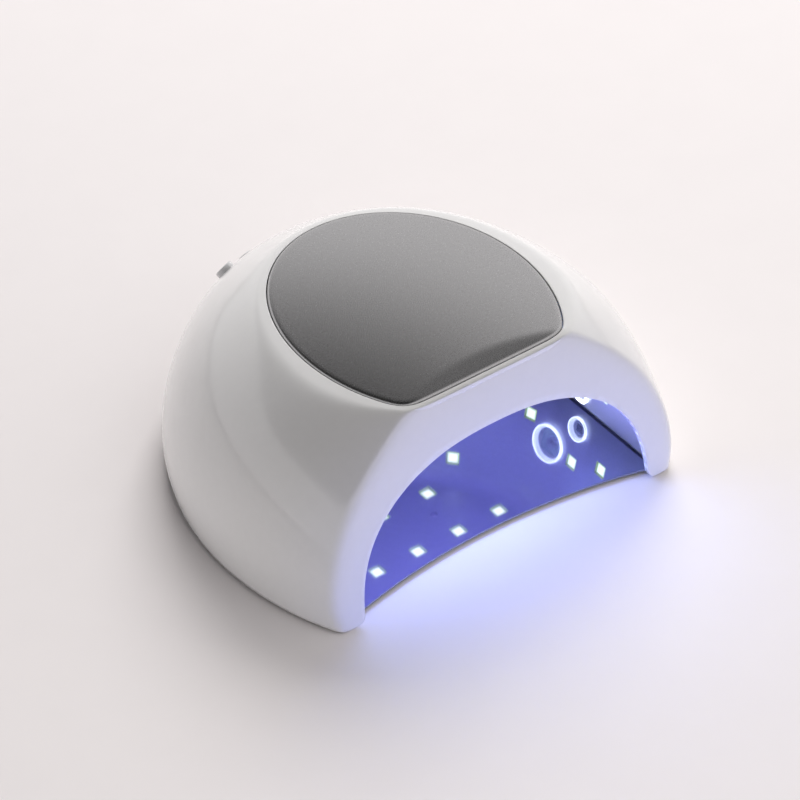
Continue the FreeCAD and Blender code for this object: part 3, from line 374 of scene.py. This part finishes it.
def between_rows(height, column):
    """A smooth curve through one column of DOME_ROWS."""
    share = min(max(height / FLANK_HEIGHT, 0.0), DOME_ROWS[-1][0])
    last = len(DOME_ROWS) - 2
    low = min(max(i for i, row in enumerate(DOME_ROWS) if row[0] <= share), last)
    ends = []
    for i in (low, low + 1):
        before, after = DOME_ROWS[max(i - 1, 0)], DOME_ROWS[min(i + 1, last + 1)]
        ends.append((after[column] - before[column]) / (after[0] - before[0]))
    span = DOME_ROWS[low + 1][0] - DOME_ROWS[low][0]
    t = (share - DOME_ROWS[low][0]) / span
    start, end = DOME_ROWS[low][column], DOME_ROWS[low + 1][column]
    return ((1 + 2 * t) * (1 - t) ** 2 * start + t * (1 - t) ** 2 * span * ends[0]
            + t * t * (3 - 2 * t) * end - t * t * (1 - t) * span * ends[1])


def front_plane(height):
    """The front face's distance from the dome's centre; ahead is negative."""
    return -FRONT_REACH + height * FRONT_LEAN


def crown(x, y, drop=0.0):
    """Height of the lamp's top: a shallow ball, cut by the brow's slope."""
    ball = CROWN_TOP - CROWN_RADIUS + math.sqrt(CROWN_RADIUS ** 2 - x * x - (y - CROWN_Y) ** 2)
    brow = CROWN_TOP - BROW_DROP + (y + BROW_REACH) * BROW_SLOPE
    return min(ball, brow) - drop


def flank(turn_share, height):
    """A point of the flank: turn_share runs from the front's right edge round to its left."""
    wide = between_rows(height, 1)
    ahead = BACK * wide * between_rows(height, 2)
    corner = math.asin(max(front_plane(height) / ahead, -1.0))
    turn = corner + (math.pi - 2 * corner) * turn_share
    along = math.sin(turn) * (BACK * wide if math.sin(turn) > 0 else ahead)
    return Vector((HALF_WIDTH * wide * math.cos(turn), along, height))


def shoulder_height(turn_share):
    """Where the flank meets the top."""
    height = FLANK_HEIGHT
    for _ in range(12):
        spot = flank(turn_share, height)
        height = 0.5 * (height + crown(spot.x, spot.y, PANEL_PROUD))
    return height


print("shoulder heights in mm:", [round(shoulder_height(t) / MM, 1) for t in (0, 0.25, 0.5)])


# %% [markdown]
# ## The panel's outline
# From above, the panel is an oval with its front cut straight and the two front corners rounded.
# A ray from the panel's middle meets that outline once, which gives the shell's rim and the panel
# the same points.

# %% Outline of the panel
PANEL_HALF_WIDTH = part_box("top_panel")[1].x
PANEL_HALF_LENGTH = 0.074


def panel_reach(direction, grow=0.0):
    """Distance from the panel's middle to its outline along a flat direction."""
    oval = 1 / math.hypot(direction.x / (PANEL_HALF_WIDTH + grow),
                          direction.y / (PANEL_HALF_LENGTH + grow))
    if direction.y >= 0:
        return oval
    chord = (BROW_REACH + CROWN_Y + grow) / -direction.y
    # the corner: a soft minimum of the two, whose softness sets the corner's rounding
    soft = 26.0
    return (oval ** -soft + chord ** -soft) ** (-1 / soft)


def panel_point(direction, grow=0.0, drop=0.0):
    reach = panel_reach(direction, grow)
    x, y = direction.x * reach, CROWN_Y + direction.y * reach
    return Vector((x, y, crown(x, y, drop)))


# %% [markdown]
# ## Outer shell
# The real shell is one injection moulding.  It could be cut from a solid with booleans, but a
# glossy surface shows every crease, so a cage for subdivision is better.  Three bent grids make it:
# the flank, the roof between shoulder and panel, and the front face between its outer edge and the
# arch.  They share their border points, so merging doubles sews them together, and the subdivision
# rounds each sewn edge by about half the width of the faces beside it.

# %% Cage of the shell
FLANK_COLUMNS = 80
FLANK_ROWS = 12
EDGE_COLUMNS = 24
ARCH_HALF_WIDTH = 0.0797
ARCH_HEIGHT = 0.0685
ARCH_POWER = 2.36
PANEL_GAP = 0.00035
RECESS_DEPTH = 0.0031
SHELL_WALL = 0.0026
SHELL_EDGE = 0.0005


def flank_rule(across, up):
    height = FOOT + up * (shoulder_height(across) - FOOT)
    return flank(across, height)


left_corner = flank(1.0, shoulder_height(1.0))
right_corner = flank(0.0, shoulder_height(0.0))


def front_edge(share):
    """A point of the sharp edge between the front face and the roof, from left to right."""
    x = left_corner.x + share * (right_corner.x - left_corner.x)
    height = left_corner.z
    for _ in range(12):
        height = 0.5 * (height + crown(x, front_plane(height), PANEL_PROUD))
    return Vector((x, front_plane(height), height))


def roof_border(share):
    """Once round the roof: the shoulder from right to left, then the front edge back again."""
    step = share * (FLANK_COLUMNS + EDGE_COLUMNS)
    if step <= FLANK_COLUMNS:
        turn = step / FLANK_COLUMNS
        return flank(turn, shoulder_height(turn))
    return front_edge((step - FLANK_COLUMNS) / EDGE_COLUMNS)


ROOF_STOPS = 5


def roof_rule(around, inward):
    """From the shoulder in to the panel's rim, then down the recess."""
    border = roof_border(around)
    direction = Vector((border.x, border.y - CROWN_Y, 0)).normalized()
    rim = panel_point(direction, PANEL_GAP, PANEL_PROUD)
    lip = min(0.0009, 0.35 * (border - rim).length)
    stop = round(inward * ROOF_STOPS)
    towards = (border - rim).normalized()
    if stop == 0:
        return border
    if stop == 1:
        middle = border.lerp(rim, 0.5)
        middle.z = crown(middle.x, middle.y, PANEL_PROUD)
        return middle
    if stop == 2:
        return rim + towards * lip
    drop = {3: 0.0, 4: 0.0009, 5: RECESS_DEPTH}[stop]
    return rim - Vector((0, 0, drop))


def front_rule(along, inward):
    """From the front face's outer edge in to the arch, following the arch from left to right."""
    steps = along * (2 * FLANK_ROWS + EDGE_COLUMNS)
    if steps <= FLANK_ROWS:
        outer = flank_rule(1.0, steps / FLANK_ROWS)
    elif steps <= FLANK_ROWS + EDGE_COLUMNS:
        outer = front_edge((steps - FLANK_ROWS) / EDGE_COLUMNS)
    else:
        outer = flank_rule(0.0, 1 - (steps - FLANK_ROWS - EDGE_COLUMNS) / FLANK_ROWS)
    rise = outer.z - FOOT
    shrink = ((abs(outer.x) / ARCH_HALF_WIDTH) ** ARCH_POWER
              + (rise / (ARCH_HEIGHT - FOOT)) ** ARCH_POWER) ** (-1 / ARCH_POWER)
    inner = Vector((outer.x * shrink, 0, FOOT + rise * shrink))
    inner.y = front_plane(inner.z)
    return outer.lerp(inner, inward)


shell_bm = bmesh.new()
bent_grid(shell_bm, FLANK_COLUMNS, FLANK_ROWS, flank_rule)
bent_grid(shell_bm, FLANK_COLUMNS + EDGE_COLUMNS, ROOF_STOPS, roof_rule)
bent_grid(shell_bm, 2 * FLANK_ROWS + EDGE_COLUMNS, 2, front_rule)
bmesh.ops.remove_doubles(shell_bm, verts=shell_bm.verts, dist=0.00002)
bmesh.ops.translate(shell_bm, verts=shell_bm.verts, vec=(0, CENTRE_Y, 0))
open_edges = sum(edge.is_boundary for edge in shell_bm.edges)
print("cage:", len(shell_bm.faces), "faces,", open_edges, "open edges")

shell = piece("smooth_shell", shell_bm, "shell_white", "lamp", ["outer_shell"])
subdivide(shell, 2)
thicken(shell, SHELL_WALL)
soften(shell, SHELL_EDGE)


# %% [markdown]
# ## Openings at the back
# The back of the shell has four round holes for the keys, a rounded window for the timer display
# and a round hole for the power inlet.  One mesh holds all the cutters.  A boolean cuts them out,
# the result becomes the shell's own mesh, and the cutters are thrown away.

# %% Holes in the shell
KEY_RADIUS = 0.0045
KEY_CLEAR = 0.0003
INLET_HOLE = 0.0047
WINDOW_CORNER = 0.0030
WINDOW_CLEAR = 0.00015

key_places = {}
for joint in frame["record"]["behaviour"]["joints"]:
    if joint["child"].startswith("key_"):
        outward = -Vector(joint["axis"])
        key = NODES["button_" + joint["child"][-1]]
        spots = {tuple(round(v, 6) for v in key.matrix_world @ vert.co)
                 for vert in key.data.vertices}
        top = max(Vector(spot).dot(outward) for spot in spots)
        ring = [Vector(spot) for spot in spots if Vector(spot).dot(outward) > top - 0.00002]
        key_places[joint["child"]] = along(sum(ring, Vector()) / len(ring), outward)

cut_bm = bmesh.new()
for place in key_places.values():
    bmesh.ops.create_cone(cut_bm, cap_ends=True, segments=64, radius1=KEY_RADIUS + KEY_CLEAR,
                          radius2=KEY_RADIUS + KEY_CLEAR, depth=0.024, matrix=place)
inlet = next(m for m in frame["record"]["mounts"] if m["name"] == "dc_inlet")
bmesh.ops.create_cone(cut_bm, cap_ends=True, segments=64, radius1=INLET_HOLE, radius2=INLET_HOLE,
                      depth=0.016, matrix=along(Vector(inlet["pos_m"]), Vector((0, 1, 0))))
window_low, window_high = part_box("display_window")
window_middle = (window_low + window_high) / 2
window_size = window_high - window_low + Vector((2 * WINDOW_CLEAR, 0.02, 2 * WINDOW_CLEAR))
cube = bmesh.ops.create_cube(cut_bm, size=1.0, matrix=Matrix.Translation(window_middle)
                             @ Matrix.Diagonal((*window_size, 1)))
upright = {edge for vert in cube["verts"] for edge in vert.link_edges
           if abs((edge.verts[0].co - edge.verts[1].co).y) > 0.01}
bmesh.ops.bevel(cut_bm, geom=list(upright), offset=WINDOW_CORNER, offset_type="OFFSET", segments=6,
                profile=0.5, affect="EDGES", material=-1)
bmesh.ops.recalc_face_normals(cut_bm, faces=cut_bm.faces)
cut_mesh = bpy.data.meshes.new("hole_cutters")
cut_bm.to_mesh(cut_mesh)
cut_bm.free()
cutters = bpy.data.objects.new("hole_cutters", cut_mesh)
bpy.context.scene.collection.objects.link(cutters)
holes = shell.modifiers.new("holes", "BOOLEAN")
holes.operation = "DIFFERENCE"
holes.solver = "EXACT"
holes.object = cutters
make_real(shell)
bpy.data.objects.remove(cutters)
bpy.data.meshes.remove(cut_mesh)
shell.data.set_sharp_from_angle(angle=math.radians(40))
print("shell:", len(shell.data.polygons), "faces with its holes")


# %% [markdown]
# ## Keys
# Each key is a short turned cap: a slightly dished top, a rolled edge, a flange behind the shell
# and a stem that reaches the switch.  Each is spun about its own press axis.

# %% Turned keys
KEY_PROFILE = ((0.0, -0.35), (1.3, -0.33), (2.4, -0.26), (3.3, -0.09), (3.8, -0.01), (4.15, -0.07),
               (4.38, -0.26), (4.48, -0.52), (4.5, -0.85), (4.5, -4.9), (5.7, -4.9), (5.7, -6.1),
               (1.5, -6.1), (1.5, -9.5), (0.0, -9.5))
for body, place in key_places.items():
    key_bm = bmesh.new()
    turned(key_bm, [(radius * MM, height * MM) for radius, height in KEY_PROFILE], place)
    piece("cap_" + body, key_bm, "button_white", body, ["button_" + body[-1]], crisp=50)
print("keys:", len(key_places))


# %% [markdown]
# ## Chips, tray and window
# Three nodes keep their shape but gain the edges that catch the light.  The chips' faces are inset
# and painted, so that each has a hot middle.  The sensor lenses are inset too, and a ring at each
# rim glows as a painted highlight.  The mirror tray and the display window get a fine bevel all
# round.

# %% Painted chips
CHIP_RIM = 0.0015
CHIP_FACE = 10e-6

for name in [n for n in NODES if n.startswith("led_chips")]:
    chip_bm = merged_copy(name)
    faces = [face for face in chip_bm.faces if face.calc_area() > CHIP_FACE]
    bmesh.ops.inset_individual(chip_bm, faces=faces, thickness=CHIP_RIM, depth=0.0)
    paint = chip_bm.verts.layers.float_color.new("core")
    middles = {vert for face in faces for vert in face.verts}
    for vert in chip_bm.verts:
        vert[paint] = (1, 1, 1, 1) if vert in middles else (0, 0, 0, 1)
    piece("lit_" + name, chip_bm, "light_chip", "lamp", [name], smooth=False)
    print("lit_" + name, len(faces), "painted faces")

# %% Lenses with a painted highlight at the rim
LENS_HIGHLIGHT_RIM = 0.0011

# each lens's rim ring is painted 1 in the attribute core and its middle 0; the lens material turns
# this into the painted highlight at the rim
for name in ("sensor_lens_large", "sensor_lens_small"):
    lens_bm = merged_copy(name)
    widest = max(face.calc_area() for face in lens_bm.faces)
    faces = [face for face in lens_bm.faces if face.calc_area() > widest / 2]
    bmesh.ops.inset_individual(lens_bm, faces=faces, thickness=LENS_HIGHLIGHT_RIM, depth=0.0)
    paint = lens_bm.verts.layers.float_color.new("core")
    middles = {vert for face in faces for vert in face.verts}
    for vert in lens_bm.verts:
        vert[paint] = (0, 0, 0, 1) if vert in middles else (1, 1, 1, 1)
    piece("painted_highlight_" + name, lens_bm, "lens_clear", "lamp", [name], smooth=False)
    print("painted_highlight_" + name, len(faces), "painted faces")

# %% Bevelled tray and window
for name, slot, body, width in (("base_tray", "tray_mirror", "tray", 0.00022),
                                ("display_window", "display_dark", "lamp", 0.00025)):
    made = piece("soft_" + name, merged_copy(name), slot, body, [name],
                 smooth=name != "base_tray")
    soften(made, width)
    print("soft_" + name, "bevelled by", width / MM, "mm")


# %% [markdown]
# ## Top panel
# The panel is a satin disc with a rolled edge.  Its crown and the slope at its front meet in a soft
# crease.  A circle is filled as rings, each ring is pushed out to its share of the outline, and
# every point is lifted to the crown, with the crease blended over a few millimetres.

# %% Panel
PANEL_SEGMENTS = 288
PANEL_ROLL = 0.0014
PANEL_SIDE = 0.0026
CREASE_BLEND = 0.0004


def soft_crown(x, y):
    """The panel's top, with the crease between ball and slope blended."""
    ball = CROWN_TOP - CROWN_RADIUS + math.sqrt(CROWN_RADIUS ** 2 - x * x - (y - CROWN_Y) ** 2)
    brow = CROWN_TOP - BROW_DROP + (y + BROW_REACH) * BROW_SLOPE
    gap = max(1 - abs(ball - brow) / CREASE_BLEND, 0.0)
    return min(ball, brow) - 0.25 * CREASE_BLEND * gap * gap


FLAT_RINGS = 40
ROLL_RINGS = 6
SIDE_RINGS = 2
ALL_RINGS = FLAT_RINGS + ROLL_RINGS + SIDE_RINGS


def panel_rule(around, outward):
    """Rings from the middle out, the last few rolling over the edge and down the side."""
    turn = 2 * math.pi * around
    direction = Vector((math.cos(turn), math.sin(turn), 0))
    ring = round(outward * ALL_RINGS)
    edge_ring = ring - FLAT_RINGS
    full = panel_reach(direction) - PANEL_ROLL
    if edge_ring <= 0:
        reach = full * ring / FLAT_RINGS
        drop = 0.0
    elif edge_ring <= ROLL_RINGS:
        roll = math.pi / 2 * edge_ring / ROLL_RINGS
        reach = full + PANEL_ROLL * math.sin(roll)
        drop = PANEL_ROLL * (1 - math.cos(roll))
    else:
        reach = full + PANEL_ROLL
        drop = PANEL_ROLL + (PANEL_SIDE - PANEL_ROLL) * (edge_ring - ROLL_RINGS) / SIDE_RINGS
    x, y = direction.x * reach, CROWN_Y + direction.y * reach
    return Vector((x, y, soft_crown(x, y) - drop))


panel_bm = bmesh.new()
bent_grid(panel_bm, PANEL_SEGMENTS, ALL_RINGS, panel_rule)
bmesh.ops.remove_doubles(panel_bm, verts=panel_bm.verts, dist=0.00001)
bmesh.ops.dissolve_degenerate(panel_bm, edges=panel_bm.edges, dist=0.00001)
rim = [edge for edge in panel_bm.edges if edge.is_boundary]
bmesh.ops.contextual_create(panel_bm, geom=rim)
bmesh.ops.translate(panel_bm, verts=panel_bm.verts, vec=(0, CENTRE_Y, 0))
print("panel:", len(panel_bm.faces), "faces")
panel = piece("crowned_panel", panel_bm, "panel_grey", "lamp", ["top_panel"])


# %% [markdown]
# ## Floor and light
# A pale floor fills the view.  One large soft light stands behind and to the right, which leaves
# the left flank and the front in a soft shade.  A second one brightens only the floor ahead.  The
# room is bright near the horizon and dark overhead, and its mirror image shades the metal panel.

# %% Floor
floor_bm = bmesh.new()
bmesh.ops.create_grid(floor_bm, x_segments=1, y_segments=1, size=6.0)
floor_mesh = bpy.data.meshes.new("floor")
floor_bm.to_mesh(floor_mesh)
floor_bm.free()
floor = bpy.data.objects.new("floor", floor_mesh)
finish("floor", (0.82, 0.785, 0.785), 0.75, grain=40, mottle=0.004, bump=0.02,
       Specular_IOR_Level=0.25)
floor_mesh.materials.append(FINISHES["floor"])
bpy.context.scene.collection.objects.link(floor)

# %% Studio lights
def panel_light(name, spot, aim, size, power, colour, parent=None, glossy=True):
    """A soft rectangular light at a spot, aimed at a point."""
    data = bpy.data.lights.new(name, "AREA")
    data.shape = "RECTANGLE"
    data.size, data.size_y = size
    data.energy = power
    data.color = colour
    obj = bpy.data.objects.new(name, data)
    obj.location = spot
    obj.rotation_euler = (Vector(spot) - Vector(aim)).to_track_quat("Z", "Y").to_euler()
    obj.visible_camera = False
    obj.visible_glossy = glossy
    obj.parent = parent
    bpy.context.scene.collection.objects.link(obj)
    return obj


def light_only(light, receiver):
    """Limits a light to one receiver, as a flag on a film set keeps it off the rest."""
    group = bpy.data.collections.new(light.name + "_receivers")
    group.objects.link(receiver)
    light.light_linking.receiver_collection = group


MIDDLE = (0.0, 0.0, 0.05)
panel_light("key", (1.05, 1.15, 1.45), MIDDLE, (1.2, 1.2), 38, (1.0, 0.985, 0.975), glossy=False)
wash = panel_light("floor_wash", (0.10, -0.85, 1.20), (0.10, -0.50, 0.0), (1.2, 1.2), 6.5,
                   (1.0, 0.985, 0.985), glossy=False)
light_only(wash, floor)

world = bpy.data.worlds.new("studio")
bpy.context.scene.world = world
world.use_nodes = True
sky_nodes, sky_links = world.node_tree.nodes, world.node_tree.links
sky_nodes["Background"].inputs["Strength"].default_value = 0.95
direction = sky_nodes.new("ShaderNodeTexCoord")
split = sky_nodes.new("ShaderNodeSeparateXYZ")
fade = sky_nodes.new("ShaderNodeValToRGB")
sky_links.new(direction.outputs["Generated"], split.inputs["Vector"])
# higher up, the room is also darker on the left than on the right, which shades the panel across
LEAN_ZERO = 0.46
sideways = sky_nodes.new("ShaderNodeMath")
sideways.operation = "SUBTRACT"
sideways.inputs[1].default_value = LEAN_ZERO
aloft = sky_nodes.new("ShaderNodeMapRange")
aloft.inputs["From Min"].default_value = 0.35
aloft.inputs["From Max"].default_value = 0.60
lean = sky_nodes.new("ShaderNodeMath")
lean.operation = "MULTIPLY"
shifted = sky_nodes.new("ShaderNodeMath")
shifted.operation = "SUBTRACT"
sky_links.new(split.outputs["X"], sideways.inputs[0])
sky_links.new(split.outputs["Z"], aloft.inputs["Value"])
sky_links.new(sideways.outputs["Value"], lean.inputs[0])
sky_links.new(aloft.outputs["Result"], lean.inputs[1])
sky_links.new(split.outputs["Z"], shifted.inputs[0])
sky_links.new(lean.outputs["Value"], shifted.inputs[1])
sky_links.new(shifted.outputs["Value"], fade.inputs["Fac"])
sky_links.new(fade.outputs["Color"], sky_nodes["Background"].inputs["Color"])
# the room is bright near the horizon and dim overhead: elevation in degrees, and brightness
SKY = ((29, 1.00), (40, 0.58), (49, 0.27), (60, 0.10), (72, 0.03))
stops = fade.color_ramp.elements
while len(stops) < len(SKY):
    stops.new(0.5)
for stop, (elevation, level) in zip(stops, SKY):
    stop.position = math.sin(math.radians(elevation))
    stop.color = (level, 0.975 * level, 0.975 * level, 1)
bpy.context.scene.view_settings.view_transform = "Standard"

# %% [markdown]
# ## The lamp's own light
# The chips glow but light little around them, so three small blue area lights ride on the lamp.
# One points up at the chamber, one points down and out through the mouth, and one stands for the
# light that the floor throws back on the front face.

# %% Chamber lights
LAMP_BODY = frame["bodies"]["lamp"]
panel_light("chamber_up", (0, CENTRE_Y - 0.005, 0.008), (0, CENTRE_Y - 0.005, 1), (0.11, 0.08),
            0.22, (0.33, 0.30, 1.0), LAMP_BODY, glossy=False)
panel_light("chamber_down", (0, CENTRE_Y - 0.015, 0.062), (0, CENTRE_Y - 0.12, 0.0), (0.12, 0.03),
            0.12, (0.32, 0.46, 1.0), LAMP_BODY, glossy=False)
spill = panel_light("spill", (0, CENTRE_Y - 0.17, 0.012), (0, CENTRE_Y - 0.06, 0.05), (0.20, 0.02),
                    0.085, (0.12, 0.20, 1.0), LAMP_BODY, glossy=False)
light_only(spill, shell)
